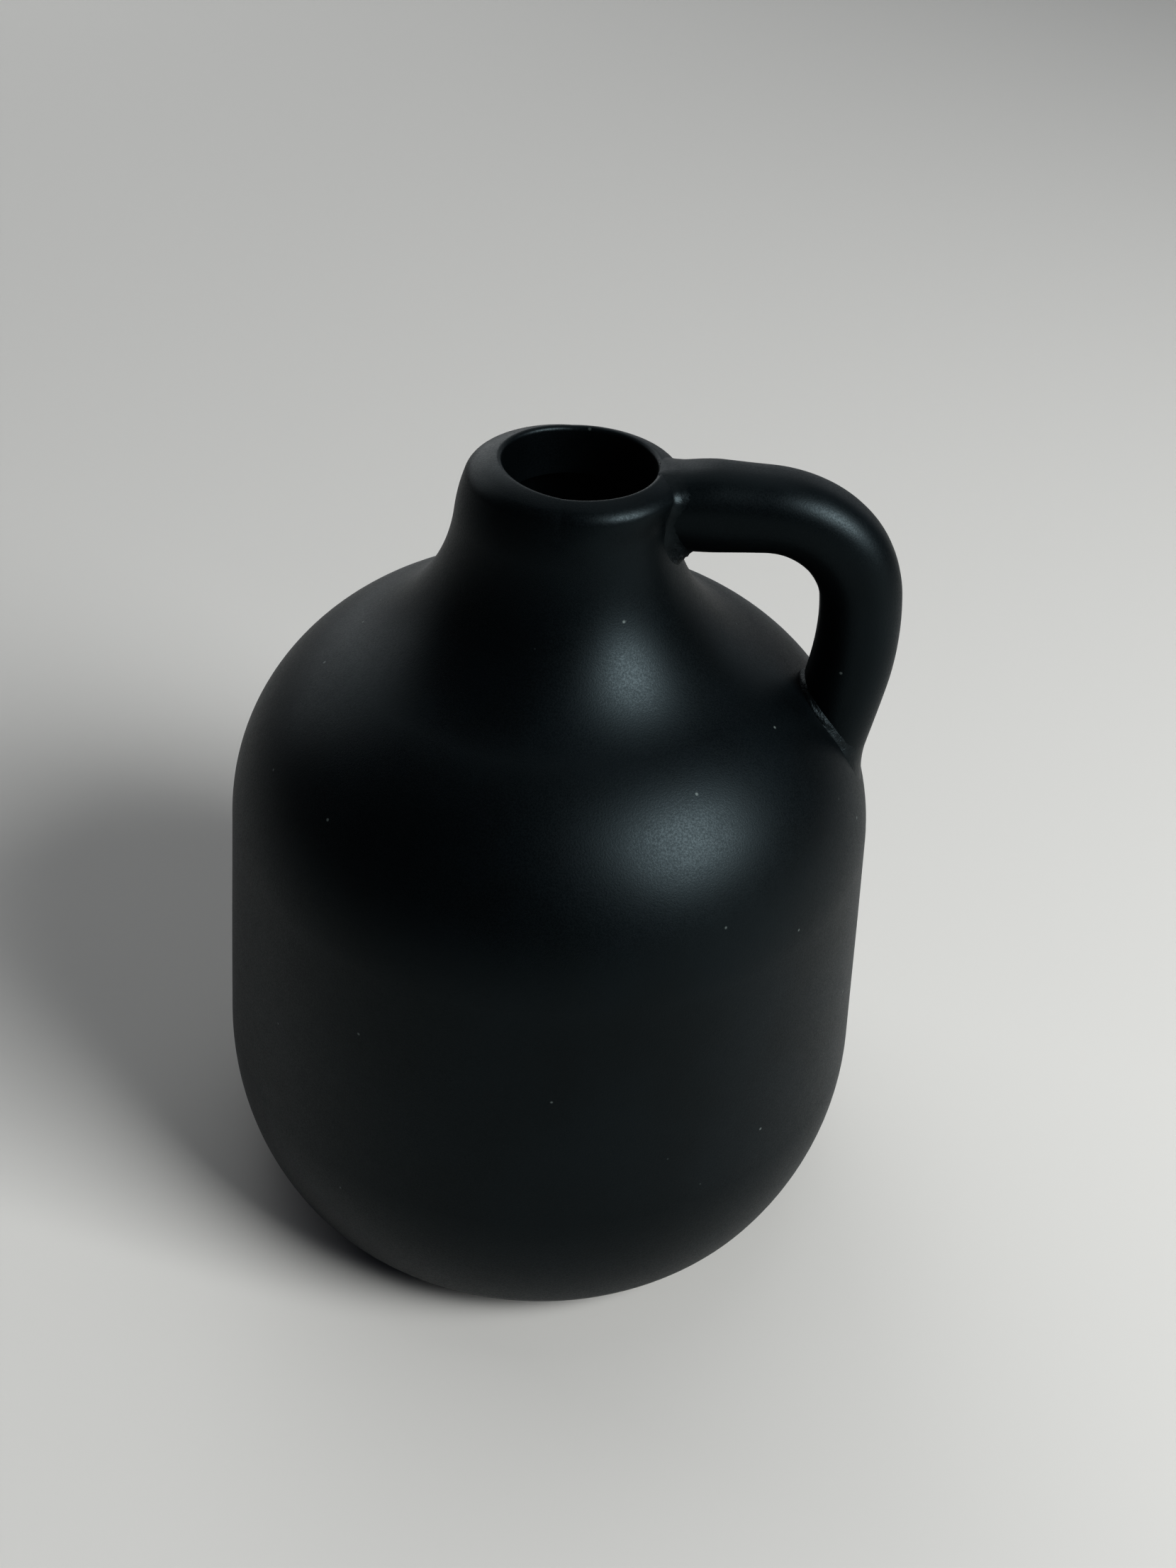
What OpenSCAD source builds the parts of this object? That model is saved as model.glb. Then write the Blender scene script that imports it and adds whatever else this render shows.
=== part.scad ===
// Small black clay jug vase with a loop handle, built up from clay pieces and joined with slip.
// Origin: centre of the foot on the ground. +Z is up and the handle points along +X.

/* [Foot and belly] */
// Radius of the flat foot that the jug stands on
foot_r = 32.9; // [27:0.1:39.5]
// Radius of the rounded corner between foot and belly
heel_r = 12.9; // [9:0.1:16]
// Radius of the slow swell of the lower belly
swell_r = 44; // [34:1:56]
// Length of the straight side above the swell
side_l = 38; // [28:1:48]
// Angle that the straight side leans inwards
side_lean = 4; // [0:0.5:6]

/* [Shoulder, neck and lip] */
// Radius of the rounded shoulder
shoulder_r = 31.2; // [26:0.1:37.5]
// Radius of the slow inward curve at the top of the neck
neck_top_r = 23.6; // [18:0.1:30]
// Radius of the rounded edge of the lip
lip_r = 3; // [2:0.1:4]
// Radius of the gently domed top of the lip
lip_top_r = 8; // [6:0.1:10]
// Radius of the round mouth
mouth_r = 10.1; // [8:0.1:12.2]
// How far the mouth sits off centre, towards the handle
mouth_shift = 1.6; // [0:0.1:2]

/* [Clay] */
// Wall thickness of the body
wall = 4; // [3:0.1:5.5]
// Wall thickness at the top of the neck, where the mouth comes nearest
neck_wall = 2.6; // [2.2:0.1:3.4]
// Depth of the scored groove where two clay pieces join
groove_depth = 1.4; // [1:0.1:1.8]
// Thickness of the slip in a groove
slip_t = 0.5; // [0.3:0.1:0.7]

/* [Handle] */
// Width of the handle strap, side to side
handle_w = 11.2; // [9.5:0.1:13]
// Thickness of the handle strap
handle_t = 11; // [9.1:0.1:13.2]
// Rounding of the strap's long edges
handle_edge_r = 4.2; // [2.5:0.1:4.6]
// How far the handle's top stands above the lip
handle_rise = 0.7; // [-3:0.1:0.8]
// How far the handle's back leg stands in from the top of the belly
leg_inset = 6; // [3:0.1:9]
// Centre-line radius of the top bend
bend_r = 14; // [12.5:0.1:20]
// Angle turned by the top bend
bend_angle = 82; // [70:1:85]
// Centre-line radius of the slow curve down the back
back_r = 44; // [30:1:60]
// Angle turned by the slow curve
back_angle = 16.5; // [10:0.5:22]
// Thickness of the slip under each handle end
handle_slip_t = 0.8; // [0.5:0.1:1.2]
// How far the squeezed slip stands out around each handle end
bead = 0.7; // [0.4:0.1:1]

/* [Hidden] */
clay = "#26282b";
slip = "#3a3d41";
$fn = 96;

// Headings along the outline, in degrees from the radial direction: 90 is straight up.
heel_end = 66;
side_dir = 90 + side_lean;
shoulder_end = 153.5;
neck_dir = 96.7;
lip_start = 110;
lip_top = 150;
lip_end = 167;
arc_step = 5;
// Steps round each long edge of the handle strap.
corner_steps = 6;
// Room left in the neck beside the shifted mouth.
mouth_clear = 0.2;

// A point of the outline is [radius, height, heading, wall thickness].
function turn(p, r, to, t, n) = [for (i = [1:n]) let (h = p[2] + (to - p[2]) * i / n, s = sign(to - p[2]))
    [p[0] + s * r * (sin(h) - sin(p[2])), p[1] - s * r * (cos(h) - cos(p[2])), h,
     p[3] + (t - p[3]) * i / n]];
function arc(p, r, to, t) = turn(p, r, to, t, ceil(abs(to - p[2]) / arc_step));
function go(p, l) = [p[0] + l * cos(p[2]), p[1] + l * sin(p[2]), p[2], p[3]];
function last(v) = v[len(v) - 1];
function inward(p, d, along = 0) = [p[0] - d * sin(p[2]) + along * cos(p[2]),
                                    p[1] + d * cos(p[2]) + along * sin(p[2])];

// The outline, one stretch for each clay piece from the foot to the lip.
base_pts = arc([foot_r, 0, 0, wall], heel_r, heel_end, wall);
swell_pts = arc(last(base_pts), swell_r, side_dir, wall);
belly_pts = concat([last(base_pts)], swell_pts, [go(last(swell_pts), side_l)]);
shoulder_pts = concat([last(belly_pts)], arc(last(belly_pts), shoulder_r, shoulder_end, wall));
neck_r = mouth_r + mouth_shift + mouth_clear + neck_wall * sin(neck_dir);
neck_curve_r = (last(shoulder_pts)[0] - neck_r) / (sin(neck_dir) - sin(shoulder_end));
neck_pts = concat([last(shoulder_pts)], arc(last(shoulder_pts), neck_curve_r, neck_dir, neck_wall));
throat_pts = arc(last(neck_pts), neck_top_r, lip_start, neck_wall);
edge_pts = arc(last(throat_pts), lip_r, lip_top, neck_wall);
rim_pts = concat([last(neck_pts)], throat_pts, edge_pts,
                 arc(last(edge_pts), lip_top_r, lip_end, neck_wall));
jug_h = last(rim_pts)[1];

// The groove across a wall at one point of the outline: its two edges and its deepest point.
function groove(p, drop) = [inward(p, p[3] * 0.25), inward(p, p[3] * 0.5, -drop), inward(p, p[3] * 0.75)];
function flip(v) = [for (i = [len(v) - 1:-1:0]) v[i]];
function outer(pts) = [for (p = pts) [p[0], p[1]]];
function inner(pts) = [for (p = flip(pts)) inward(p, p[3])];

module ring(pts) {
    tongue = groove(pts[0], groove_depth - slip_t);
    scored = groove(last(pts), groove_depth);
    rotate_extrude() polygon(concat(outer(pts), scored, inner(pts), flip(tongue)));
}

module slip_ring(p) {
    low = groove(p, groove_depth);
    high = groove(p, groove_depth - slip_t);
    rotate_extrude() polygon([low[0], low[1], low[2], high[1]]);
}

module base_disc() {
    scored = groove(last(base_pts), groove_depth);
    color(clay) rotate_extrude()
        polygon(concat([[0, 0], [foot_r, 0]], outer(base_pts), scored, inner(base_pts),
                       [[foot_r, wall], [0, wall]]));
}

module rim() {
    tongue = groove(rim_pts[0], groove_depth - slip_t);
    low = inward(rim_pts[0], neck_wall);
    color(clay) difference() {
        rotate_extrude() polygon(concat(outer(rim_pts), [[0, jug_h], [0, low[1]], low], flip(tongue)));
        translate([mouth_shift, 0, low[1] - 1]) cylinder(r = mouth_r, h = jug_h - low[1] + 2);
    }
}

// The solid inside of the whole outline, let out by a distance.
module outline_solid(out) {
    rotate_extrude() polygon(concat([[0, -out], [foot_r, -out]],
        [for (p = concat(base_pts, belly_pts, shoulder_pts, neck_pts, rim_pts)) inward(p, -out)],
        [[0, jug_h + out]]));
}

// The handle strap runs level from the neck, bends over and comes down to the shoulder.
handle_top = jug_h + handle_rise;
handle_z = handle_top - handle_t / 2;
leg_x = last(belly_pts)[0] - leg_inset;
leg_dir = bend_angle + back_angle;
bend_x = leg_x - bend_r * sin(bend_angle) - back_r * (sin(leg_dir) - sin(bend_angle));
handle_start = [last(throat_pts)[0] - neck_wall / 2, handle_z, 0, 0];
bend_start = [bend_x, handle_z, 0, 0];
bend_pts = arc(bend_start, bend_r, -bend_angle, 0);
back_pts = arc(last(bend_pts), back_r, -leg_dir, 0);
leg_start = last(back_pts);
leg_end = go(leg_start, leg_start[1] - shoulder_pts[0][1]);

// One rounded cross-section of the strap, square to its path at p.
function strap_ring(p, grow) = [for (k = [0:3], i = [0:corner_steps]) let (
    a = 90 * (k + i / corner_steps),
    side = [[1, 1], [-1, 1], [-1, -1], [1, -1]][k],
    r = handle_edge_r + grow,
    at = inward(p, side[0] * (handle_t / 2 - handle_edge_r) + r * cos(a)))
    [at[0], side[1] * (handle_w / 2 - handle_edge_r) + r * sin(a), at[1]]];

module strap(path, grow = 0) {
    n = 4 * (corner_steps + 1);
    rings = len(path);
    polyhedron(points = [for (p = path) each strap_ring(p, grow)],
        faces = concat(
            [[for (i = [0:n - 1]) i]],
            [for (k = [0:rings - 2], i = [0:n - 1]) let (a = k * n + i, b = k * n + (i + 1) % n)
                [a, a + n, b + n, b]],
            [[for (i = [n - 1:-1:0]) (rings - 1) * n + i]]));
}

module handle() {
    color(clay) difference() {
        strap(concat([handle_start, bend_start], bend_pts, back_pts, [leg_end]));
        outline_solid(handle_slip_t);
    }
}

// Slip between the jug and a handle end, squeezed out on every side.
module slip_pad(leg) {
    difference() {
        intersection() {
            strap(leg, bead);
            outline_solid(handle_slip_t);
        }
        outline_solid(0);
    }
}

module handle_upper_slip() {
    flush = 2 * handle_t;
    color(slip) difference() {
        slip_pad([handle_start, bend_start]);
        translate([0, -flush / 2, handle_top]) cube(flush);
    }
}

module handle_lower_slip() {
    color(slip) slip_pad([leg_start, leg_end]);
}

base_disc();
color(slip) slip_ring(last(base_pts));  // base_slip_ring
color(clay) ring(belly_pts);  // belly_wall
color(slip) slip_ring(last(belly_pts));  // belly_slip_ring
color(clay) ring(shoulder_pts);  // shoulder
color(slip) slip_ring(last(shoulder_pts));  // shoulder_slip_ring
color(clay) ring(neck_pts);  // neck
color(slip) slip_ring(last(neck_pts));  // neck_slip_ring
rim();
handle();
handle_upper_slip();
handle_lower_slip();
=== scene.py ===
import math

import bmesh
import bpy
from bpy.props import FloatProperty, FloatVectorProperty, IntProperty, PointerProperty
from mathutils import Matrix, Vector


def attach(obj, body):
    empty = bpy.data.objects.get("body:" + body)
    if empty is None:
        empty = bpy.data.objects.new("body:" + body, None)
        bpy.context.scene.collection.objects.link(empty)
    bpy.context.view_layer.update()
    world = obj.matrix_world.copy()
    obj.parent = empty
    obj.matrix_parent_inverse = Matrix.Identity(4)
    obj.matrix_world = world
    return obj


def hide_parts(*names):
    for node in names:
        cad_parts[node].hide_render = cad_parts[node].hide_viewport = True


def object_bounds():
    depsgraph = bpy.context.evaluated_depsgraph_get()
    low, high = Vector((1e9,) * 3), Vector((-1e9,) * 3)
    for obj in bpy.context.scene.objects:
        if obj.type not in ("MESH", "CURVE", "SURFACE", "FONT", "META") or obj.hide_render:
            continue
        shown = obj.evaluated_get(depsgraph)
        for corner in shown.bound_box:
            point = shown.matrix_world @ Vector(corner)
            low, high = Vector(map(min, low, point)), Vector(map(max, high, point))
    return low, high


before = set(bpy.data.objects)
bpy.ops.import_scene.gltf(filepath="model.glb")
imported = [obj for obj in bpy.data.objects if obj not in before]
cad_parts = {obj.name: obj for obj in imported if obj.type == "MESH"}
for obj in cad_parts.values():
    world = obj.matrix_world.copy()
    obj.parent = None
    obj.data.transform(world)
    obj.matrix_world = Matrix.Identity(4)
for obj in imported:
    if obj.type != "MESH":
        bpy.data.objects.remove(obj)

bl_info = {
    "name": "Black Clay Jug",
    "version": (1, 0, 0),
    "blender": (4, 5, 0),
    "location": "3D View > Sidebar > Jug",
    "description": "Small coil-built jug in reduction-fired black clay, with a pulled loop handle",
    "category": "Object",
}

CAD_BOX = [list(corner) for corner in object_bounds()]
MM = 0.001

# Points closer than this are one point.
MERGE = 1e-6
# Halvings in a search for where two surfaces meet.
HALVINGS = 26

CLAY_RINGS = ("base_disc", "belly_wall", "shoulder", "neck", "rim")
SLIP_RINGS = ("base_slip_ring", "belly_slip_ring", "shoulder_slip_ring", "neck_slip_ring")


def linear(hex_colour):
    """An sRGB hex colour as linear RGBA."""
    parts = [int(hex_colour[i:i + 2], 16) / 255 for i in (1, 3, 5)]
    return [p / 12.92 if p <= 0.04045 else ((p + 0.055) / 1.055) ** 2.4 for p in parts] + [1.0]


def length(name, description, default):
    """A length property, with its default in millimetres."""
    return FloatProperty(name=name, description=description, default=default * MM, min=0.0,
                         max=1.0, subtype="DISTANCE", unit="LENGTH", precision=5)


def angle(name, description, default):
    return FloatProperty(name=name, description=description, default=math.radians(default),
                         subtype="ANGLE", unit="ROTATION")


def colour(name, description, default):
    return FloatVectorProperty(name=name, description=description, default=linear(default),
                               size=4, min=0, max=1, subtype="COLOR")


# ---------------------------------------------------------------- sizes and colours


class JugShape(bpy.types.PropertyGroup):
    foot_radius: length("Foot radius", "Radius of the flat foot", 32.9)
    heel_radius: length("Heel radius", "Rounded corner between foot and belly", 12.9)
    heel_end: angle("Heel end", "Heading of the outline where the base disc ends", 66)
    swell_radius: length("Swell radius", "Slow swell of the lower belly", 44)
    side_length: length("Side length", "Straight side above the swell", 38)
    side_lean: angle("Side lean", "How far the straight side leans inwards", 4)
    shoulder_radius: length("Shoulder radius", "Rounded shoulder", 31.2)
    shoulder_end: angle("Shoulder end", "Heading where the shoulder turns into the neck", 153.5)
    neck_heading: angle("Neck heading", "Heading of the short straight neck", 96.7)
    neck_top: length("Neck top", "Slow inward curve at the top of the neck", 23.6)
    lip_start: angle("Lip start", "Heading where the neck turns over into the lip", 110)
    lip_radius: length("Lip radius", "Rounded edge of the lip", 3)
    lip_turn: angle("Lip turn", "Heading where the lip's edge meets its domed top", 150)
    lip_top: length("Lip top", "Gently domed top of the lip", 8)
    lip_end: angle("Lip end", "Heading of the lip where it meets the mouth", 167)
    mouth_radius: length("Mouth radius", "Radius of the mouth", 10.1)
    mouth_shift: length("Mouth shift", "How far the mouth sits towards the handle", 1.6)
    mouth_edge: length("Mouth edge", "Rounding of the mouth's inner edge", 0.6)
    wall: length("Wall", "Thickness of the clay", 4)
    neck_wall: length("Neck wall", "Thickness of the clay at the top of the neck", 2.6)
    mouth_clear: length("Mouth clearance", "Room left in the neck beside the mouth", 0.2)
    groove_depth: length("Groove depth", "Scored groove between two clay pieces", 1.4)
    slip_thickness: length("Slip thickness", "Slip in a groove", 0.5)
    segments: IntProperty(name="Segments", description="Steps around the jug", default=288, min=48)
    unevenness: length("Unevenness", "How far the hand-smoothed wall wanders inwards", 0.22)


class HandleShape(bpy.types.PropertyGroup):
    width: length("Width", "Width of the strap, side to side", 11.2)
    thickness: length("Thickness", "Thickness of the strap", 11)
    edge: length("Edge rounding", "Rounding of the strap's long edges", 4.9)
    rise: length("Rise", "How far the strap's top stands above the lip", 0.7)
    leg_inset: length("Leg inset", "How far the back leg stands in from the top of the belly", 6)
    bend_radius: length("Bend radius", "Centre-line radius of the top bend", 14)
    bend_angle: angle("Bend angle", "Angle turned by the top bend", 82)
    back_radius: length("Back radius", "Centre-line radius down the back", 44)
    back_angle: angle("Back angle", "Angle turned down the back", 16.5)
    slip: length("Slip", "Slip between the jug and a handle end", 0.8)


class JugColours(bpy.types.PropertyGroup):
    clay: colour("Clay", "Smoked clay, nearly black", "#04080a")
    clay_light: colour("Clay, lighter", "Patches where the smoke took less", "#080e11")
    ash: colour("Ash", "Specks of ash and grit in the skin", "#5c6361")
    slip: colour("Slip", "Dried slip at the joints", "#1c2022")
    sheen: colour("Sheen", "Cool cast of the rubbed skin's shine", "#e2f8ff")
    floor: colour("Floor", "Pale studio floor", "#c6c6c3")


class StudioSettings(bpy.types.PropertyGroup):
    view_distance: length("View distance", "Camera to the jug's middle", 257.2)
    view_rise: angle("View rise", "Camera above the jug's middle", 38.55)
    view_turn: angle("View turn", "Camera round the jug, towards the handle", 2)
    pan: angle("Pan", "Aim to the right of the jug's middle", 1.19)
    tilt: angle("Tilt", "Aim above the jug's middle", 1.5)
    roll: angle("Roll", "Camera rolled anticlockwise", 3.67)
    aim_height: length("Aim height", "Height of the jug's middle", 60)
    lens: FloatProperty(name="Lens", description="Focal length in millimetres", default=39.87)


# ---------------------------------------------------------------- shared helpers


def add(tree, kind, inputs=None, **settings):
    """Adds a node to a tree, with its settings, its input values and its links."""
    node = tree.nodes.new(kind)
    for name, value in settings.items():
        setattr(node, name, value)
    for key, value in (inputs or {}).items():
        if isinstance(value, bpy.types.NodeSocket):
            tree.links.new(value, node.inputs[key])
        else:
            node.inputs[key].default_value = value
    return node


def share(value, low, high):
    """How far a value is from low to high, from 0 to 1."""
    return min(1.0, max(0.0, (value - low) / (high - low)))


def ease(part):
    """A share that starts and ends gently."""
    return part * part * (3 - 2 * part)


def place(name, mesh):
    """Puts a mesh in the scene as an object of that name."""
    piece = bpy.data.objects.new(name, mesh)
    bpy.context.scene.collection.objects.link(piece)
    return piece


def tidy_mesh(mesh, crease=math.radians(38)):
    """Merges doubles, turns the faces outwards and keeps real corners sharp."""
    bm = bmesh.new()
    bm.from_mesh(mesh)
    bmesh.ops.remove_doubles(bm, verts=bm.verts, dist=MERGE)
    loose = [v for v in bm.verts if not v.link_faces]
    bmesh.ops.delete(bm, geom=loose, context="VERTS")
    wires = [e for e in bm.edges if not e.link_faces]
    bmesh.ops.delete(bm, geom=wires, context="EDGES")
    bmesh.ops.recalc_face_normals(bm, faces=bm.faces)
    for face in bm.faces:
        face.smooth = True
    for edge in bm.edges:
        edge.smooth = len(edge.link_faces) == 2 and edge.calc_face_angle() < crease
    bm.to_mesh(mesh)
    bm.free()


# The outline is a list of (radius, height, heading, wall), walked from the foot to the lip.
# A short step at each end of a stretch keeps the shading flat across a seam.
SEAM = 0.06 * MM
ARC_STEP = math.radians(2)
LINE_STEP = 1.5 * MM


def walk_arc(start, radius, heading, wall=None):
    """Points along an arc that leaves start on its heading, with a short step at each end."""
    r, z, h, w = start
    wall = w if wall is None else wall
    turn = heading - h
    side = math.copysign(1, turn)
    count = max(2, math.ceil(abs(turn) / ARC_STEP))
    short = SEAM / (radius * abs(turn))
    points = []
    for part in [short] + [i / count for i in range(1, count)] + [1 - short, 1]:
        now = h + turn * part
        points.append((r + side * radius * (math.sin(now) - math.sin(h)),
                       z - side * radius * (math.cos(now) - math.cos(h)),
                       now, w + (wall - w) * part))
    return points


def walk_line(start, distance):
    """Points along a straight line that leaves start on its heading."""
    r, z, h, w = start
    count = max(2, math.ceil(distance / LINE_STEP))
    steps = [SEAM] + [distance * i / count for i in range(1, count)] + [distance - SEAM, distance]
    return [(r + d * math.cos(h), z + d * math.sin(h), h, w) for d in steps]


def inward(point, depth, along=0.0):
    """The (radius, height) at a depth inside the outline, and a distance along it."""
    r, z, h = point[:3]
    return (r - depth * math.sin(h) + along * math.cos(h),
            z + depth * math.cos(h) + along * math.sin(h))


def jug_outline(shape):
    """The outside of each clay piece, as the stretch of outline that it takes."""
    foot = (shape.foot_radius, 0.0, 0.0, shape.wall)
    base = walk_arc(foot, shape.heel_radius, shape.heel_end)
    side = math.pi / 2 + shape.side_lean
    swell = walk_arc(base[-1], shape.swell_radius, side)
    belly = swell + walk_line(swell[-1], shape.side_length)
    shoulder = walk_arc(belly[-1], shape.shoulder_radius, shape.shoulder_end)
    neck_r = (shape.mouth_radius + shape.mouth_shift + shape.mouth_clear
              + shape.neck_wall * math.sin(shape.neck_heading))
    curve = (shoulder[-1][0] - neck_r) / (math.sin(shape.neck_heading)
                                          - math.sin(shape.shoulder_end))
    neck = walk_arc(shoulder[-1], curve, shape.neck_heading, shape.neck_wall)
    throat = walk_arc(neck[-1], shape.neck_top, shape.lip_start)
    edge = walk_arc(throat[-1], shape.lip_radius, shape.lip_turn)
    lip = walk_arc(edge[-1], shape.lip_top, shape.lip_end)
    return {"base_disc": [foot] + base, "belly_wall": [base[-1]] + belly,
            "shoulder": [belly[-1]] + shoulder, "neck": [shoulder[-1]] + neck,
            "rim": [neck[-1]] + throat + edge + lip, "lip_edge": edge}


# Where a groove starts, is deepest and ends, as shares of the wall from the outside.
GROOVE = (0.25, 0.5, 0.75)


def groove(point, drop):
    """The scored groove across the wall at a seam: outer edge, deepest point, inner edge."""
    start, middle, end = (point[3] * part for part in GROOVE)
    return [inward(point, start), inward(point, middle, -drop), inward(point, end)]


def wander(x, y, z, amount):
    """How far the hand-smoothed surface lies inside the true round at a point: two slow swells
    round the jug, and five quick ones that come and go up the wall."""
    turn = math.atan2(y, x)
    slow = 0.5 - 0.5 * math.cos(2 * turn - 1.4 + 22 * z)
    quick = 0.5 + 0.5 * math.sin(5 * turn - 60 * z) * math.sin(95 * z + 0.6)
    return amount * (0.7 * slow + 0.3 * quick)


class JugSurface:
    """The outside of the whole jug, for pieces that have to meet it."""

    def __init__(self, shape):
        rings = jug_outline(shape)
        self.line = [p[:2] for name in CLAY_RINGS for p in rings[name]]
        self.shape = shape

    def clearance(self, point):
        """Distance of a point outside the jug, below zero inside it."""
        z = point.z
        r = math.hypot(point.x, point.y) - lip_spread(self.shape, point.x, point.y, z)
        best, side = 1.0, 1.0
        for (ar, az), (br, bz) in zip(self.line, self.line[1:]):
            dr, dz = br - ar, bz - az
            size = dr * dr + dz * dz
            if size < 1e-16:
                continue
            part = share((r - ar) * dr + (z - az) * dz, 0, size)
            gap = math.hypot(r - ar - dr * part, z - az - dz * part)
            if gap < best:
                best = gap
                side = math.copysign(1, (r - ar) * dz - (z - az) * dr)
        return side * best + wander(point.x, point.y, z, self.shape.unevenness)

    def normal(self, point):
        """The way straight out of the surface, near a point."""
        step = 0.05 * MM
        slopes = []
        for axis in ((1, 0, 0), (0, 1, 0), (0, 0, 1)):
            offset = Vector(axis) * step
            slopes.append(self.clearance(point + offset) - self.clearance(point - offset))
        return Vector(slopes).normalized()

    def settle(self, point, gap=0.0):
        """The nearest point that lies at a gap from the surface."""
        for _ in range(3):
            point = point - self.normal(point) * (self.clearance(point) - gap)
        return point

    def reach(self, start, direction, gap, far):
        """Walks from start, inside the jug, to where the clearance is gap."""
        low, high = 0.0, far
        for _ in range(HALVINGS):
            middle = (low + high) / 2
            if self.clearance(start + direction * middle) < gap:
                low = middle
            else:
                high = middle
        return start + direction * high


# ---------------------------------------------------------------- materials


# Low enough to keep the black deep where nothing bright is mirrored.
CLAY_IOR = 1.36


def new_material(name):
    """An empty node material, and its tree."""
    material = bpy.data.materials.new(name)
    material.use_nodes = True
    tree = material.node_tree
    tree.nodes.clear()
    return material, tree


def black_clay(colours):
    """Reduction-fired clay, rubbed with a smooth stone before firing but not to a full polish:
    nearly black, with a soft broad shine, a fine gritty skin and faint wiping strokes."""
    material, tree = new_material("smoked_black_clay")
    where = add(tree, "ShaderNodeTexCoord").outputs["Object"]
    # Smoke patches about 14 mm across, and mottling about 2 mm across.
    patches = add(tree, "ShaderNodeTexNoise", {"Vector": where, "Scale": 1 / (14 * MM),
                                               "Detail": 3})
    patchy = add(tree, "ShaderNodeMapRange", {"Value": patches.outputs["Fac"], "From Min": 0.3,
                                              "From Max": 0.7}, interpolation_type="SMOOTHSTEP")
    mottle = add(tree, "ShaderNodeTexNoise", {"Vector": where, "Scale": 1 / (2 * MM)})
    # Grit is under 0.1 mm in real clay; it is drawn at 0.25 mm so that it shows.
    grit = add(tree, "ShaderNodeTexNoise", {"Vector": where, "Scale": 1 / (0.25 * MM),
                                            "Roughness": 0.6}).outputs["Fac"]
    # Wiping strokes: about 1 mm across and 20 mm long, running up and round the wall.
    strokes_at = add(tree, "ShaderNodeMapping", {"Vector": where, "Rotation": (0.4, 0.5, 0.3),
                                                 "Scale": (1.0, 1.0, 0.07)}).outputs["Vector"]
    strokes = add(tree, "ShaderNodeTexNoise", {"Vector": strokes_at, "Scale": 1 / (1.3 * MM)})
    tone = add(tree, "ShaderNodeMix", {"Factor": patchy.outputs["Result"], "A": colours.clay,
                                       "B": colours.clay_light}, data_type="RGBA")
    # Ash specks: one cell every 5 mm, most of them left empty.
    cells = add(tree, "ShaderNodeTexVoronoi", {"Vector": where, "Scale": 1 / (5 * MM)})
    near = add(tree, "ShaderNodeMapRange", {"Value": cells.outputs["Distance"], "From Min": 0.02,
                                            "From Max": 0.06, "To Min": 1, "To Max": 0},
               interpolation_type="SMOOTHSTEP")
    lot = add(tree, "ShaderNodeSeparateColor", {"Color": cells.outputs["Color"]}).outputs["Red"]
    chosen = add(tree, "ShaderNodeMapRange", {"Value": lot, "From Min": 0.45, "From Max": 0.5},
                 interpolation_type="SMOOTHSTEP")
    speck = add(tree, "ShaderNodeMath", {0: near.outputs["Result"], 1: chosen.outputs["Result"]},
                operation="MULTIPLY").outputs["Value"]
    skin = add(tree, "ShaderNodeMix", {"Factor": speck, "A": tone.outputs["Result"],
                                       "B": colours.ash}, data_type="RGBA")
    rubbed = add(tree, "ShaderNodeMapRange", {"Value": mottle.outputs["Fac"], "From Min": 0.25,
                                              "From Max": 0.75, "To Min": 0.43, "To Max": 0.45},
                 interpolation_type="SMOOTHSTEP")
    gritty = add(tree, "ShaderNodeMapRange", {"Value": grit, "From Min": 0.3, "From Max": 0.7,
                                              "To Min": -0.05, "To Max": 0.05},
                 interpolation_type="SMOOTHSTEP")
    shine = add(tree, "ShaderNodeMath", {0: rubbed.outputs["Result"], 1: gritty.outputs["Result"]},
                operation="ADD").outputs["Value"]
    wiped = add(tree, "ShaderNodeBump", {"Height": strokes.outputs["Fac"], "Distance": 0.02 * MM,
                                         "Strength": 0.1}).outputs["Normal"]
    grain = add(tree, "ShaderNodeBump", {"Height": grit, "Distance": 0.014 * MM, "Strength": 1.0,
                                         "Normal": wiped}).outputs["Normal"]
    shader = add(tree, "ShaderNodeBsdfPrincipled", {
        "Base Color": skin.outputs["Result"], "Roughness": shine, "IOR": CLAY_IOR,
        "Specular Tint": colours.sheen, "Normal": grain})
    add(tree, "ShaderNodeOutputMaterial", {"Surface": shader.outputs["BSDF"]})
    return material


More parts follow.
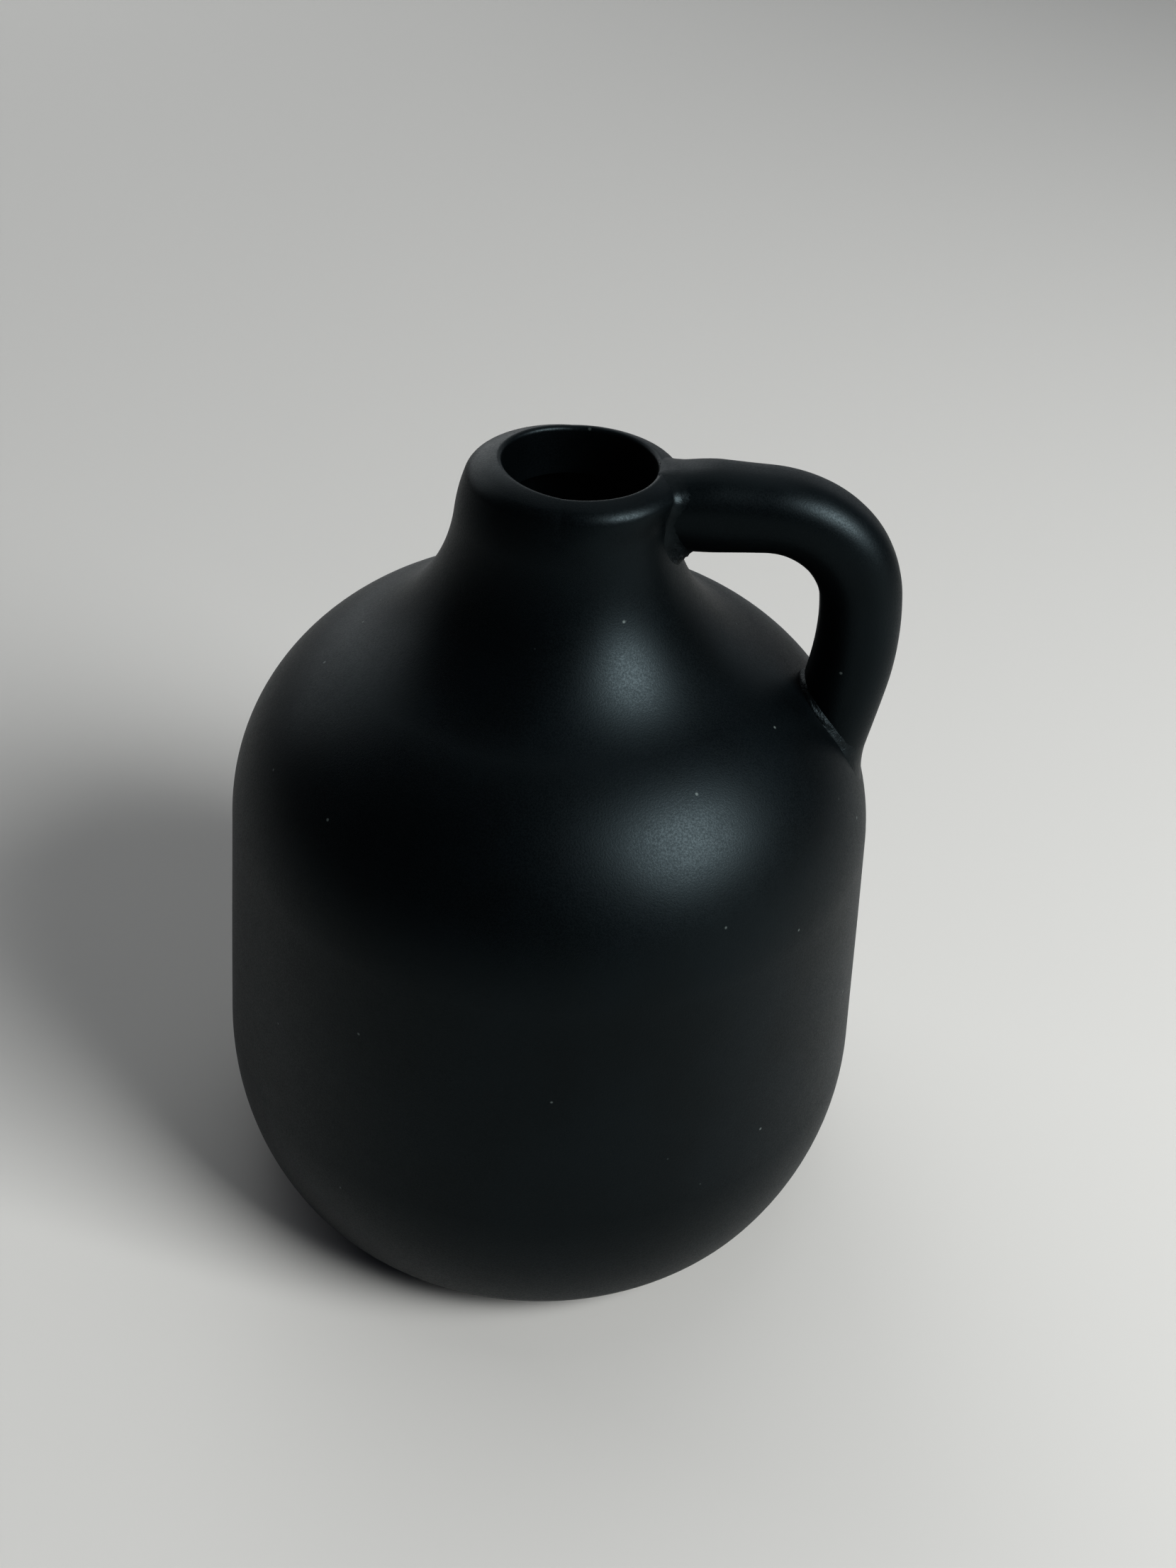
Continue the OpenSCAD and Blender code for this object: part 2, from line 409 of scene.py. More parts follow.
def joint_slip(colours):
    """Dried slip at a joint: the same clay, wetter when it went on, so rougher and a little greyer,
    smeared smooth where a finger reached and crumbly in the creases."""
    material, tree = new_material("dried_joint_slip")
    where = add(tree, "ShaderNodeTexCoord").outputs["Object"]
    crumbs = add(tree, "ShaderNodeTexNoise", {"Vector": where, "Scale": 1 / (1.1 * MM), "Detail": 4,
                                              "Roughness": 0.65}).outputs["Fac"]
    grit = add(tree, "ShaderNodeTexNoise", {"Vector": where, "Scale": 1 / (0.35 * MM),
                                            "Roughness": 0.6}).outputs["Fac"]
    amount = add(tree, "ShaderNodeAttribute", attribute_name="crumbly").outputs["Fac"]
    depth = add(tree, "ShaderNodeMath", {0: crumbs, 1: amount},
                operation="MULTIPLY").outputs["Value"]
    loose = add(tree, "ShaderNodeMapRange", {"Value": crumbs, "From Min": 0.35, "From Max": 0.7},
                interpolation_type="SMOOTHSTEP").outputs["Result"]
    blend = add(tree, "ShaderNodeMath", {0: loose, 1: amount},
                operation="MULTIPLY").outputs["Value"]
    tone = add(tree, "ShaderNodeMix", {"Factor": blend, "A": colours.clay, "B": colours.slip},
               data_type="RGBA")
    lumps = add(tree, "ShaderNodeBump", {"Height": depth, "Distance": 0.5 * MM,
                                         "Strength": 0.8}).outputs["Normal"]
    grain = add(tree, "ShaderNodeBump", {"Height": grit, "Distance": 0.012 * MM, "Strength": 0.8,
                                         "Normal": lumps}).outputs["Normal"]
    shine = add(tree, "ShaderNodeMapRange", {"Value": amount, "To Min": 0.4, "To Max": 0.5},
                interpolation_type="SMOOTHSTEP").outputs["Result"]
    shader = add(tree, "ShaderNodeBsdfPrincipled", {
        "Base Color": tone.outputs["Result"], "Roughness": shine, "IOR": CLAY_IOR,
        "Specular Tint": colours.sheen, "Normal": grain})
    add(tree, "ShaderNodeOutputMaterial", {"Surface": shader.outputs["BSDF"]})
    return material


def floor_paint(colours):
    """Matt studio paint: an even pale surface with no shine."""
    material, tree = new_material("pale_floor_paint")
    shader = add(tree, "ShaderNodeBsdfPrincipled", {"Base Color": colours.floor, "Roughness": 0.9,
                                                    "IOR": 1.3})
    add(tree, "ShaderNodeOutputMaterial", {"Surface": shader.outputs["BSDF"]})
    return material


def finish(name):
    """The material of that name, made the first time it is asked for."""
    makers = {"smoked_black_clay": black_clay, "dried_joint_slip": joint_slip,
              "pale_floor_paint": floor_paint}
    return bpy.data.materials.get(name) or makers[name](bpy.context.scene.jug_colours)


# ---------------------------------------------------------------- the turned clay rings


def turned_ring_tree():
    """Geometry Nodes that turn an outline round the jug's centre line."""
    tree = bpy.data.node_groups.new("Turned ring", "GeometryNodeTree")
    face = tree.interface
    face.new_socket("Outline", in_out="INPUT", socket_type="NodeSocketGeometry")
    face.new_socket("Segments", in_out="INPUT", socket_type="NodeSocketInt")
    face.new_socket("Clay", in_out="INPUT", socket_type="NodeSocketMaterial")
    face.new_socket("Ring", in_out="OUTPUT", socket_type="NodeSocketGeometry")
    given = add(tree, "NodeGroupInput").outputs
    count = add(tree, "GeometryNodeAttributeDomainSize", {"Geometry": given["Outline"]})
    count = count.outputs["Point Count"]
    rows = add(tree, "FunctionNodeIntegerMath", {0: count, 1: 1}, operation="ADD").outputs[0]
    columns = add(tree, "FunctionNodeIntegerMath", {0: given["Segments"], 1: 1},
                  operation="ADD").outputs[0]
    grid = add(tree, "GeometryNodeMeshGrid", {"Vertices X": rows, "Vertices Y": columns})
    index = add(tree, "GeometryNodeInputIndex").outputs["Index"]
    row = add(tree, "FunctionNodeIntegerMath", {0: index, 1: columns}, operation="DIVIDE_FLOOR")
    row = add(tree, "FunctionNodeIntegerMath", {0: row.outputs[0], 1: count}, operation="MODULO")
    column = add(tree, "FunctionNodeIntegerMath", {0: index, 1: columns}, operation="MODULO")
    position = add(tree, "GeometryNodeInputPosition").outputs["Position"]
    point = add(tree, "GeometryNodeSampleIndex", {"Geometry": given["Outline"], "Value": position,
                                                  "Index": row.outputs[0]},
                data_type="FLOAT_VECTOR", domain="POINT").outputs["Value"]
    flat = add(tree, "ShaderNodeSeparateXYZ", {"Vector": point}).outputs
    turn = add(tree, "ShaderNodeMath", {0: column.outputs[0], 1: given["Segments"]},
               operation="DIVIDE").outputs["Value"]
    turn = add(tree, "ShaderNodeMath", {0: turn, 1: 2 * math.pi},
               operation="MULTIPLY").outputs["Value"]
    cosine = add(tree, "ShaderNodeMath", {0: turn}, operation="COSINE").outputs["Value"]
    sine = add(tree, "ShaderNodeMath", {0: turn}, operation="SINE").outputs["Value"]
    across = add(tree, "ShaderNodeMath", {0: flat["X"], 1: cosine}, operation="MULTIPLY")
    along = add(tree, "ShaderNodeMath", {0: flat["X"], 1: sine}, operation="MULTIPLY")
    turned = add(tree, "ShaderNodeCombineXYZ", {"X": across.outputs["Value"],
                                                "Y": along.outputs["Value"], "Z": flat["Z"]})
    ring = add(tree, "GeometryNodeSetPosition", {"Geometry": grid.outputs["Mesh"],
                                                 "Position": turned.outputs["Vector"]})
    ring = add(tree, "GeometryNodeMergeByDistance", {"Geometry": ring.outputs["Geometry"],
                                                     "Distance": MERGE})
    ring = add(tree, "GeometryNodeRealizeInstances", {"Geometry": ring.outputs["Geometry"]})
    ring = add(tree, "GeometryNodeSetMaterial", {"Geometry": ring.outputs["Geometry"],
                                                 "Material": given["Clay"]})
    add(tree, "NodeGroupOutput", {"Ring": ring.outputs["Geometry"]})
    return tree


def outline_object(name, points):
    """A closed outline of (radius, height) points, as edges only."""
    mesh = bpy.data.meshes.new(name)
    count = len(points)
    edges = [(i, (i + 1) % count) for i in range(count)]
    mesh.from_pydata([(r, 0, z) for r, z in points], edges, [])
    return place(name, mesh)


def turn_ring(name, points, shape):
    """Turns an outline into one clay piece that stands for the CAD node of that name."""
    tree = bpy.data.node_groups.get("Turned ring") or turned_ring_tree()
    wanted = {"Segments": shape.segments, "Clay": finish("smoked_black_clay")}
    source = outline_object(name + "_outline", points)
    modifier = source.modifiers.new("Turned ring", "NODES")
    modifier.node_group = tree
    for item in tree.interface.items_tree:
        if item.name in wanted:
            modifier[item.identifier] = wanted[item.name]
    result = source.evaluated_get(bpy.context.evaluated_depsgraph_get())
    mesh = bpy.data.meshes.new_from_object(result)
    mesh.name = name + "_clay"
    source.modifiers.remove(modifier)
    bpy.data.objects.remove(source)
    finish_clay(mesh, name, shape)


# The foot stays flat and true up to the first height, and is fully uneven from the second.
TRUE_BELOW, UNEVEN_ABOVE = 0.5 * MM, 4.5 * MM


def finish_clay(mesh, name, shape):
    """Makes the wall a little uneven and puts the piece in for the CAD node of that name."""
    for vertex in mesh.vertices:
        x, y, z = vertex.co
        r = math.hypot(x, y)
        if r > 0.01 * MM and z > TRUE_BELOW:
            pull = wander(x, y, z, shape.unevenness) / r * share(z, TRUE_BELOW, UNEVEN_ABOVE)
            vertex.co = (x * (1 - pull), y * (1 - pull), z)
    tidy_mesh(mesh)
    piece = place(name + "_clay", mesh)
    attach(piece, "root")
    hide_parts(name)


def ring_outline(stretch, shape):
    """A closed outline: outside, scored groove, inside, tongue."""
    tongue = groove(stretch[0], shape.groove_depth - shape.slip_thickness)
    scored = groove(stretch[-1], shape.groove_depth)
    inside = [inward(p, p[3]) for p in reversed(stretch)]
    return [p[:2] for p in stretch] + scored + inside + tongue[::-1]


# Steps from the centre of the foot to its edge.
FOOT_ROWS = 12


class JUG_OT_clay_rings(bpy.types.Operator):
    """Builds the base disc, belly wall, shoulder and neck"""

    bl_idname = "jug.clay_rings"
    bl_label = "Build Base, Belly, Shoulder and Neck"

    def execute(self, context):
        shape = context.scene.jug_shape
        rings = jug_outline(shape)
        base = rings["base_disc"]
        scored = groove(base[-1], shape.groove_depth)
        inside = [inward(p, p[3]) for p in reversed(base)]
        foot = [(shape.foot_radius * i / FOOT_ROWS, 0.0) for i in range(FOOT_ROWS)]
        points = foot + [p[:2] for p in base] + scored + inside + [(0.0, shape.wall)]
        turn_ring("base_disc", points, shape)
        for name in ("belly_wall", "shoulder", "neck"):
            turn_ring(name, ring_outline(rings[name], shape), shape)
        return {"FINISHED"}


# The lip is pushed out on the handle's side: by this share of the mouth's shift, beginning at
# the first height and in full from the second.
SPREAD = 1.3
SPREAD_FROM, SPREAD_FULL = 113.6 * MM, 118.6 * MM


def lip_spread(shape, x, y, z):
    """How far the lip is pushed out, to leave clay round the shifted mouth."""
    facing = max(0.0, x) / max(math.hypot(x, y), MERGE)
    return SPREAD * shape.mouth_shift * facing * ease(share(z, SPREAD_FROM, SPREAD_FULL))


# Steps over the lip's domed top, round the mouth's edge and down its bore.
DOME_STEPS, EDGE_STEPS, BORE_STEPS = 12, 8, 6
# The bore stops this far above the bottom of the rim's inside.
BORE_LEFT = 1.2 * MM


def lip_section(shape, outside, turn):
    """One section of the lip, from its outside over the domed top into the mouth, at a turn
    round the jug."""
    shift, edge, dome = shape.mouth_shift, shape.mouth_edge, shape.lip_top
    corner = outside[-1]
    mouth = shift * math.cos(turn) + math.sqrt(shape.mouth_radius ** 2
                                               - (shift * math.sin(turn)) ** 2)
    spread = SPREAD * shift * max(0.0, math.cos(turn))
    sine = (mouth - spread + edge - corner[0] + dome * math.sin(corner[2])) / (dome - edge)
    heading = math.pi - math.asin(max(0.0, sine))
    points = [p[:2] for p in outside[:-1]]
    for i in range(DOME_STEPS + 1):
        now = corner[2] + (heading - corner[2]) * i / DOME_STEPS
        points.append((corner[0] + dome * (math.sin(now) - math.sin(corner[2])),
                       corner[1] - dome * (math.cos(now) - math.cos(corner[2]))))
    points = [(r + lip_spread(shape, math.cos(turn), math.sin(turn), z), z) for r, z in points]
    end_z = points[-1][1]
    start_r = mouth + edge * (1 + math.sin(heading))
    points.append((start_r, end_z))
    for i in range(1, EDGE_STEPS + 1):
        now = heading + (1.5 * math.pi - heading) * i / EDGE_STEPS
        points.append((start_r + edge * (math.sin(now) - math.sin(heading)),
                       end_z - edge * (math.cos(now) - math.cos(heading))))
    return points


class JUG_OT_rim(bpy.types.Operator):
    """Builds the lip with its mouth set towards the handle"""

    bl_idname = "jug.rim"
    bl_label = "Build Rim"

    def execute(self, context):
        shape = context.scene.jug_shape
        rings = jug_outline(shape)
        stretch = rings["rim"]
        outside = stretch[:stretch.index(rings["lip_edge"][-1]) + 1]
        tongue = groove(stretch[0], shape.groove_depth - shape.slip_thickness)
        low = inward(stretch[0], shape.neck_wall)
        sections = []
        for i in range(shape.segments):
            turn = 2 * math.pi * i / shape.segments
            section = lip_section(shape, outside, turn)
            r, top = section[-1]
            depth = top - low[1] - BORE_LEFT
            bore = [(r, top - depth * k / BORE_STEPS) for k in range(1, BORE_STEPS + 1)]
            section = section + bore + [low] + tongue[::-1]
            sections.append([(r * math.cos(turn), r * math.sin(turn), z) for r, z in section])
        rows = len(sections[0])
        mesh = bpy.data.meshes.new("rim_clay")
        faces = []
        for i in range(shape.segments):
            after = (i + 1) % shape.segments
            for k in range(rows):
                faces.append((i * rows + k, after * rows + k, after * rows + (k + 1) % rows,
                              i * rows + (k + 1) % rows))
        mesh.from_pydata([p for section in sections for p in section], [], faces)
        mesh.materials.append(finish("smoked_black_clay"))
        finish_clay(mesh, "rim", shape)
        return {"FINISHED"}


# ---------------------------------------------------------------- the handle


def strap_section(shape, steps=8):
    """The strap's cross-section as (across the path, side to side) offsets, with its normals."""
    section = []
    flats = [(1, 1), (-1, 1), (-1, -1), (1, -1)]
    for k, (up, side) in enumerate(flats):
        for i in range(steps + 1):
            turn = math.pi / 2 * (k + i / steps)
            cos, sin = math.cos(turn), math.sin(turn)
            section.append((up * (shape.thickness / 2 - shape.edge) + shape.edge * cos,
                            side * (shape.width / 2 - shape.edge) + shape.edge * sin, cos, sin))
    return section


# The strap's path starts this share of its thickness inside the neck's outer face.
ROOT_SUNK = 0.2
# Steps along the level start, and steps of a millimetre down the leg into the shoulder.
LEVEL_STEPS, LEG_STEPS = 16, 21


def handle_path(jug, shape):
    """(x, z, heading) stations of the strap's centre line from the neck to the shoulder."""
    rings = jug_outline(jug)
    z = rings["rim"][-1][1] + shape.rise - shape.thickness / 2
    leg_turn = shape.bend_angle + shape.back_angle
    leg_x = rings["belly_wall"][-1][0] - shape.leg_inset
    reach = (leg_x - shape.bend_radius * math.sin(shape.bend_angle)
             - shape.back_radius * (math.sin(leg_turn) - math.sin(shape.bend_angle)))
    inside = rings["rim"][0][0] - shape.thickness * ROOT_SUNK
    start = [(inside + (reach - inside) * i / LEVEL_STEPS, z, 0.0) for i in range(LEVEL_STEPS)]
    bend = [(reach, z, 0.0, 0.0)]
    bend += walk_arc(bend[0], shape.bend_radius, -shape.bend_angle)
    back = walk_arc(bend[-1], shape.back_radius, -leg_turn)
    x, z, heading, _ = back[-1]
    leg = [(x + i * MM * math.cos(heading), z + i * MM * math.sin(heading), heading)
           for i in range(1, LEG_STEPS + 1)]
    return start + [p[:3] for p in bend + back] + leg


# Half the strap's thickness, over which its top and its underside are shaped.
HALF_STRAP = 5.5 * MM
# The top is pressed down on to the lip: in full up to the first x, and not at all from the second.
PRESSED, PRESS_OVER, PRESS_DEPTH = 12 * MM, 20 * MM, 0.8 * MM
# A thumb's shallow hollow in the top, before the bend.
HOLLOW_X, HOLLOW_WIDTH, HOLLOW_DEPTH = 30 * MM, 7 * MM, 0.5 * MM
# The underside is thicker towards the neck: in full up to the first x, and not from the second.
THICK, THICK_OVER, THICK_DEPTH = 18 * MM, 32 * MM, 0.75 * MM
# How much the fingers thinned the strap, as a share.
THINNED = 0.015


def strap_point(station, offset):
    """A point of the strap's skin: thinned a touch by fingers, and dipped on to the lip."""
    x, z, heading = station
    up, side = offset[:2]
    level = max(0.0, math.cos(heading))
    over, under = max(0.0, up) / HALF_STRAP, max(0.0, -up) / HALF_STRAP
    free = share(x, PRESSED, PRESS_OVER)
    dip = PRESS_DEPTH * (1 - ease(free)) * over
    dip += HOLLOW_DEPTH * math.exp(-((x - HOLLOW_X) / HOLLOW_WIDTH) ** 2) * over
    dip += THICK_DEPTH * (1 - ease(share(x, THICK, THICK_OVER))) * under
    waist = 1 - THINNED * (0.5 - 0.5 * math.cos(x / MM * 0.5 + z / MM * 0.2)) * free
    up, side = up * waist, side * waist
    return Vector((x - up * math.sin(heading), side, z + up * math.cos(heading) - dip * level))


def tube_faces(rows, count):
    """The faces of a closed tube of rows, each a ring of count points."""
    faces = [(k * count + i, k * count + (i + 1) % count, (k + 1) * count + (i + 1) % count,
              (k + 1) * count + i) for k in range(rows - 1) for i in range(count)]
    last = (rows - 1) * count
    return faces + [tuple(range(count)), tuple(last + i for i in reversed(range(count)))]


class JUG_OT_handle(bpy.types.Operator):
    """Builds the pulled strap handle"""

    bl_idname = "jug.handle"
    bl_label = "Build Handle"

    def execute(self, context):
        jug, shape = context.scene.jug_shape, context.scene.jug_handle
        surface = JugSurface(jug)
        section = strap_section(shape)
        stations = handle_path(jug, shape)
        rings = [[strap_point(station, offset) for offset in section] for station in stations]
        # Each end stops on the slip: points inside it slide along the strap to its face.
        gap = shape.slip
        columns = []
        for i in range(len(section)):
            line = [ring[i] for ring in rings]
            first = max(1, next(k for k, p in enumerate(line) if surface.clearance(p) > gap))
            final = max(k for k, p in enumerate(line) if surface.clearance(p) > gap)
            head = surface.reach(line[first - 1], line[first] - line[first - 1], gap, 1.0)
            tail = surface.reach(line[final + 1], line[final] - line[final + 1], gap, 1.0)
            columns.append([head] * first + line[first:final + 1]
                           + [tail] * (len(line) - final - 1))
        count, rows = len(section), len(stations)
        mesh = bpy.data.meshes.new("handle_strap")
        points = [columns[i][k] for k in range(rows) for i in range(count)]
        mesh.from_pydata(points, [], tube_faces(rows, count))
        mesh.materials.append(finish("smoked_black_clay"))
        tidy_mesh(mesh)
        piece = place("handle_strap", mesh)
        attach(piece, "root")
        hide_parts("handle")
        return {"FINISHED"}


def crumble(point, amount):
    """Small lumps in the dried slip, pushed out along x, y and z."""
    x, y, z = (c / MM for c in point)
    return Vector((math.sin(5.1 * y + 3.3 * z), math.sin(4.7 * z + 2.9 * x + 1),
                   math.sin(5.7 * x + 3.7 * y + 2))) * amount


# Steps across the slip's face, round each of the strap's edges, and the longest way searched.
FACE_STEPS, SLIP_SECTION_STEPS, SEARCH = 10, 12, 30 * MM
# How far the slip's edges are sunk: into the strap, into the jug, and under the strap's end.
INTO_STRAP, INTO_JUG, UNDER_STRAP = 0.05 * MM, 0.05 * MM, 0.3 * MM
# How far the crumbs stand out, and the sharpest angle that the slip's shading rounds off.
CRUMB_HEIGHT, SLIP_CREASE = 0.12 * MM, math.radians(60)


def slip_fillet(name, node, foot_station, away, spread, surface, shape):
    """Slip round one handle end. spread(up) gives how far it runs up the strap, how far over
    the jug, how much it bulges and how crumbly it is where the strap's skin faces up by that
    much."""
    section = strap_section(shape, SLIP_SECTION_STEPS)
    count = len(section)
    x, z, heading = foot_station

    def strap_at(distance, offset, sunk=0.0):
        shrink = 1 - sunk / (shape.thickness / 2)
        return strap_point((x + away[0] * distance, z + away[1] * distance, heading),
                           (offset[0] * shrink, offset[1] * shrink))

    def travel(offset, gap):
        low, high = 0.0, SEARCH
        for _ in range(HALVINGS):
            middle = (low + high) / 2
            if surface.clearance(strap_at(middle, offset)) < gap:
                low = middle
            else:
                high = middle
        return high

    direction = Vector((away[0], 0, away[1]))
    rows = [[] for _ in range(FACE_STEPS + 2)]
    crumbs = [[] for _ in range(FACE_STEPS + 2)]
    for offset in section:
        touch = travel(offset, 0.0)
        run, foot, bulge, crumb = spread(offset[2])
        contact = strap_at(touch, offset)
        normal = surface.normal(contact)
        outwards = contact - strap_at(touch, (0, 0))
        outwards -= direction * outwards.dot(direction)
        outwards -= normal * outwards.dot(normal)
        outwards.normalize()
        reach = max(run, travel(offset, shape.slip) - touch + 0.1 * MM)
        high = strap_at(touch + reach, offset, INTO_STRAP)
        low = surface.settle(contact + outwards * foot, -INTO_JUG)
        pull = contact + (direction * run + outwards * foot) * bulge
        rows[0].append(strap_at(travel(offset, shape.slip * 0.95), offset, UNDER_STRAP))
        crumbs[0].append(0.0)
        for i in range(FACE_STEPS + 1):
            t = i / FACE_STEPS
            point = high * (1 - t) ** 2 + pull * 2 * t * (1 - t) + low * t ** 2
            rows[i + 1].append(point + crumble(point, CRUMB_HEIGHT * crumb
                                               * math.sin(math.pi * t)))
            crumbs[i + 1].append(crumb)
    mesh = bpy.data.meshes.new(name)
    flat = [p for row in rows for p in row]
    mesh.from_pydata(flat, [], tube_faces(len(rows), count))
    layer = mesh.attributes.new("crumbly", "FLOAT", "POINT")
    layer.data.foreach_set("value", [c for row in crumbs for c in row])
    mesh.materials.append(finish("dried_joint_slip"))
    tidy_mesh(mesh, SLIP_CREASE)
    piece = place(name, mesh)
    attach(piece, "root")
    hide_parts(node)


def upper_spread(up):
    """Smeared out on top, a small hollow at the sides, pinched and crumbly under the strap."""
    over, under = max(0.0, up), max(0.0, -up)
    run = (1.3 + 1.7 * over + 1.1 * under) * MM
    foot = (1.2 - 0.3 * over + 0.9 * under ** 2) * MM
    return run, foot, 0.08 + 0.3 * under, 0.15 + 0.85 * under ** 2


def lower_spread(up):
    """A narrow raised bead inside and at the sides, smeared out below the back of the strap."""
    outer = max(0.0, up)
    run = (0.8 + 3.4 * outer ** 1.5) * MM
    foot = (0.7 + 2.6 * outer ** 1.5) * MM
    return run, foot, 0.65 * (1 - outer), 0.7 * (1 - outer)


class JUG_OT_handle_slip(bpy.types.Operator):
    """Builds the slip round both ends of the handle"""

    bl_idname = "jug.handle_slip"
    bl_label = "Build Handle Slip"

    def execute(self, context):
        jug, shape = context.scene.jug_shape, context.scene.jug_handle
        surface = JugSurface(jug)
        stations = handle_path(jug, shape)
        slip_fillet("handle_upper_slip_fillet", "handle_upper_slip", stations[0], (1, 0),
                    upper_spread, surface, shape)
        down = stations[-1][2]
        slip_fillet("handle_lower_slip_bead", "handle_lower_slip", stations[-1],
                    (-math.cos(down), -math.sin(down)), lower_spread, surface, shape)
        return {"FINISHED"}


class JUG_OT_slip_rings(bpy.types.Operator):
    """Gives the slip in the scored grooves its finish"""

    bl_idname = "jug.slip_rings"
    bl_label = "Finish Slip Rings"

    def execute(self, context):
        for name in SLIP_RINGS:
            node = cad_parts[name]
            node.data.materials.clear()
            node.data.materials.append(finish("dried_joint_slip"))
        return {"FINISHED"}


# ---------------------------------------------------------------- the studio


# Name, bearing from the front and height in degrees, distance and size in metres, brightness.
SOFT_BOXES = (("key_soft_box", 59, 37, 1.0, (0.46, 0.46), 15.5),
              ("window_behind_left", -143, 26, 1.3, (1.5, 0.9), 1.1),
              ("overhead_behind", 178, 70, 1.3, (1.0, 1.0), 0.7))
FLOOR_HALF = 3.0
# A dim room with a pale wall behind, low down: the way to the wall, and how squarely a
# direction has to face it before it begins to show and before it shows in full.
ROOM_DIM, ROOM_WALL = "#30323a", "#c6c8ca"
WALL_WAY, WALL_FROM, WALL_FULL = (0.12, 0.99, 0.05), 0.55, 0.95


def soft_box(name, turn, rise, distance, size, brightness, aim):
    """A soft box, placed round the point that it aims at."""
    light = bpy.data.lights.new(name, "AREA")
    light.shape = "RECTANGLE"
    light.size, light.size_y = size
    light.energy = brightness * math.pi * size[0] * size[1]
    lamp = bpy.data.objects.new(name, light)
    bpy.context.scene.collection.objects.link(lamp)
    turn, rise = math.radians(turn), math.radians(rise)
    towards = Vector((math.sin(turn) * math.cos(rise), -math.cos(turn) * math.cos(rise),
                      math.sin(rise)))
    lamp.location = aim + towards * distance
    lamp.rotation_euler = towards.to_track_quat("Z", "Y").to_euler()


def studio_camera(view):
    """A camera on its bearing, aimed at the jug's middle and then panned, tilted and rolled."""
    rise = view.view_rise
    forward = Vector((0, math.cos(rise), -math.sin(rise)))
    right = Vector((1, 0, 0))
    up = right.cross(forward)
    aim = (forward * math.cos(view.pan) * math.cos(view.tilt) + right * math.sin(view.pan)
           + up * math.sin(view.tilt) * math.cos(view.pan)).normalized()
    level = aim.cross(Vector((0, 0, 1))).normalized()
    plumb = level.cross(aim)
    across = level * math.cos(view.roll) + plumb * math.sin(view.roll)
    top = plumb * math.cos(view.roll) - level * math.sin(view.roll)
    spin = Matrix.Rotation(view.view_turn, 3, "Z")
    where = Vector((0, 0, view.aim_height)) - forward * view.view_distance
    turned = spin @ Matrix((across, top, -aim)).transposed()
    camera = bpy.data.cameras.new("camera")
    camera.lens = view.lens
    camera.sensor_width = 36
    camera.clip_start = 0.01
    holder = bpy.data.objects.new("camera", camera)
    bpy.context.scene.collection.objects.link(holder)
    holder.matrix_world = Matrix.Translation(spin @ where) @ turned.to_4x4()
    bpy.context.scene.camera = holder


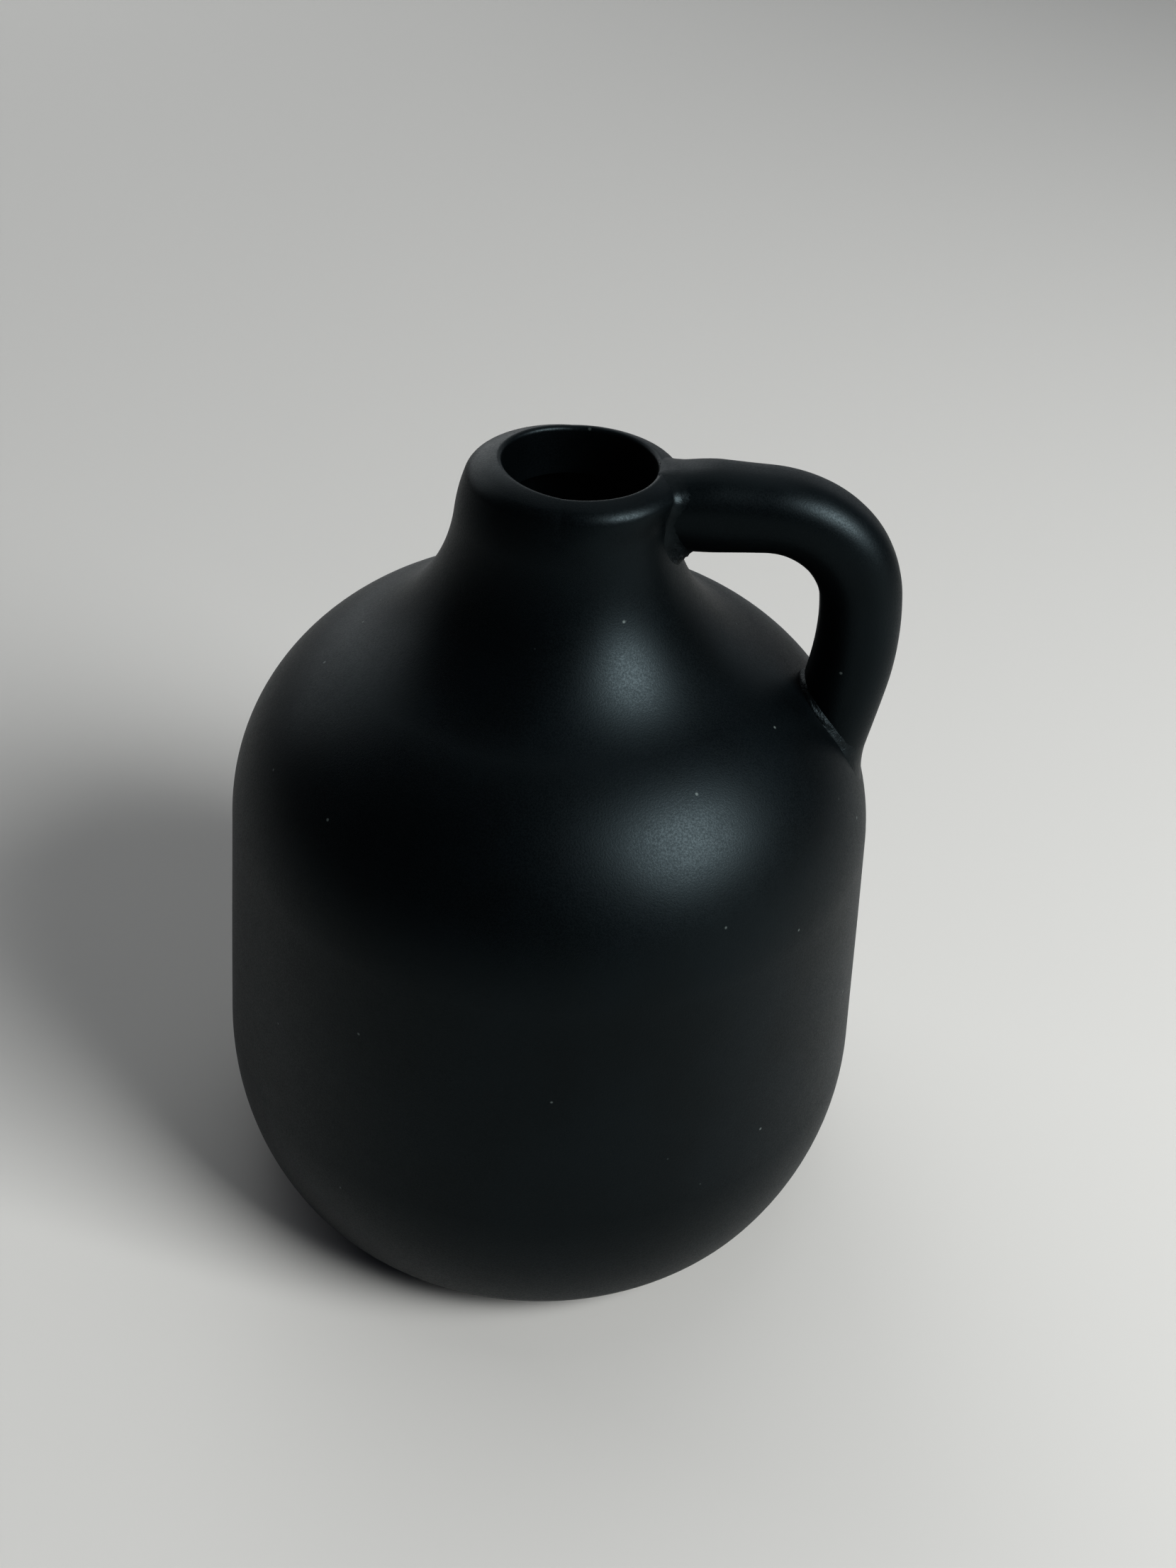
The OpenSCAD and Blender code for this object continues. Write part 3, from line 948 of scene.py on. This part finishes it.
class JUG_OT_studio(bpy.types.Operator):
    """Sets the floor, the soft boxes and the camera"""

    bl_idname = "jug.studio"
    bl_label = "Set Up Studio"

    def execute(self, context):
        scene = context.scene
        low = CAD_BOX[0][2]
        mesh = bpy.data.meshes.new("floor")
        corners = ((-1, -1), (1, -1), (1, 1), (-1, 1))
        mesh.from_pydata([(x * FLOOR_HALF, y * FLOOR_HALF, low) for x, y in corners], [],
                         [(0, 1, 2, 3)])
        mesh.materials.append(finish("pale_floor_paint"))
        place("floor", mesh)
        aim = Vector((0, 0, scene.jug_studio.aim_height))
        for box in SOFT_BOXES:
            soft_box(*box, aim)
        world = bpy.data.worlds.new("dim_room")
        world.use_nodes = True
        tree = world.node_tree
        way = add(tree, "ShaderNodeTexCoord").outputs["Generated"]
        facing = add(tree, "ShaderNodeVectorMath", {0: way, 1: WALL_WAY}, operation="DOT_PRODUCT")
        behind = add(tree, "ShaderNodeMapRange", {"Value": facing.outputs["Value"],
                                                  "From Min": WALL_FROM, "From Max": WALL_FULL},
                     interpolation_type="SMOOTHSTEP")
        wall = add(tree, "ShaderNodeMix", {"Factor": behind.outputs["Result"],
                                           "A": linear(ROOM_DIM), "B": linear(ROOM_WALL)},
                   data_type="RGBA")
        tree.links.new(wall.outputs["Result"], tree.nodes["Background"].inputs["Color"])
        scene.world = world
        scene.view_settings.view_transform = "Standard"
        scene.view_settings.look = "High Contrast"
        studio_camera(scene.jug_studio)
        return {"FINISHED"}


# ---------------------------------------------------------------- the add-on


STEPS = (JUG_OT_clay_rings, JUG_OT_rim, JUG_OT_handle, JUG_OT_handle_slip, JUG_OT_slip_rings,
         JUG_OT_studio)


class JUG_PT_panel(bpy.types.Panel):
    """Lists the jug's pieces and its studio"""

    bl_idname = "JUG_PT_panel"
    bl_label = "Black Clay Jug"
    bl_space_type = "VIEW_3D"
    bl_region_type = "UI"
    bl_category = "Jug"

    def draw(self, context):
        column = self.layout.column()
        for step in STEPS:
            column.operator(step.bl_idname)
        for group in ("jug_shape", "jug_handle", "jug_colours", "jug_studio"):
            settings = getattr(context.scene, group)
            box = self.layout.box()
            for name in settings.bl_rna.properties.keys():
                if name not in ("rna_type", "name"):
                    box.prop(settings, name)


GROUPS = {"jug_shape": JugShape, "jug_handle": HandleShape, "jug_colours": JugColours,
          "jug_studio": StudioSettings}


def register():
    for name, group in GROUPS.items():
        bpy.utils.register_class(group)
        setattr(bpy.types.Scene, name, PointerProperty(type=group))
    for step in STEPS:
        bpy.utils.register_class(step)
    bpy.utils.register_class(JUG_PT_panel)


def unregister():
    bpy.utils.unregister_class(JUG_PT_panel)
    for step in reversed(STEPS):
        bpy.utils.unregister_class(step)
    for name, group in GROUPS.items():
        delattr(bpy.types.Scene, name)
        bpy.utils.unregister_class(group)


def main():
    register()
    bpy.ops.jug.clay_rings()
    bpy.ops.jug.rim()
    bpy.ops.jug.handle()
    bpy.ops.jug.handle_slip()
    bpy.ops.jug.slip_rings()
    bpy.ops.jug.studio()


if __name__ == "__main__":
    main()
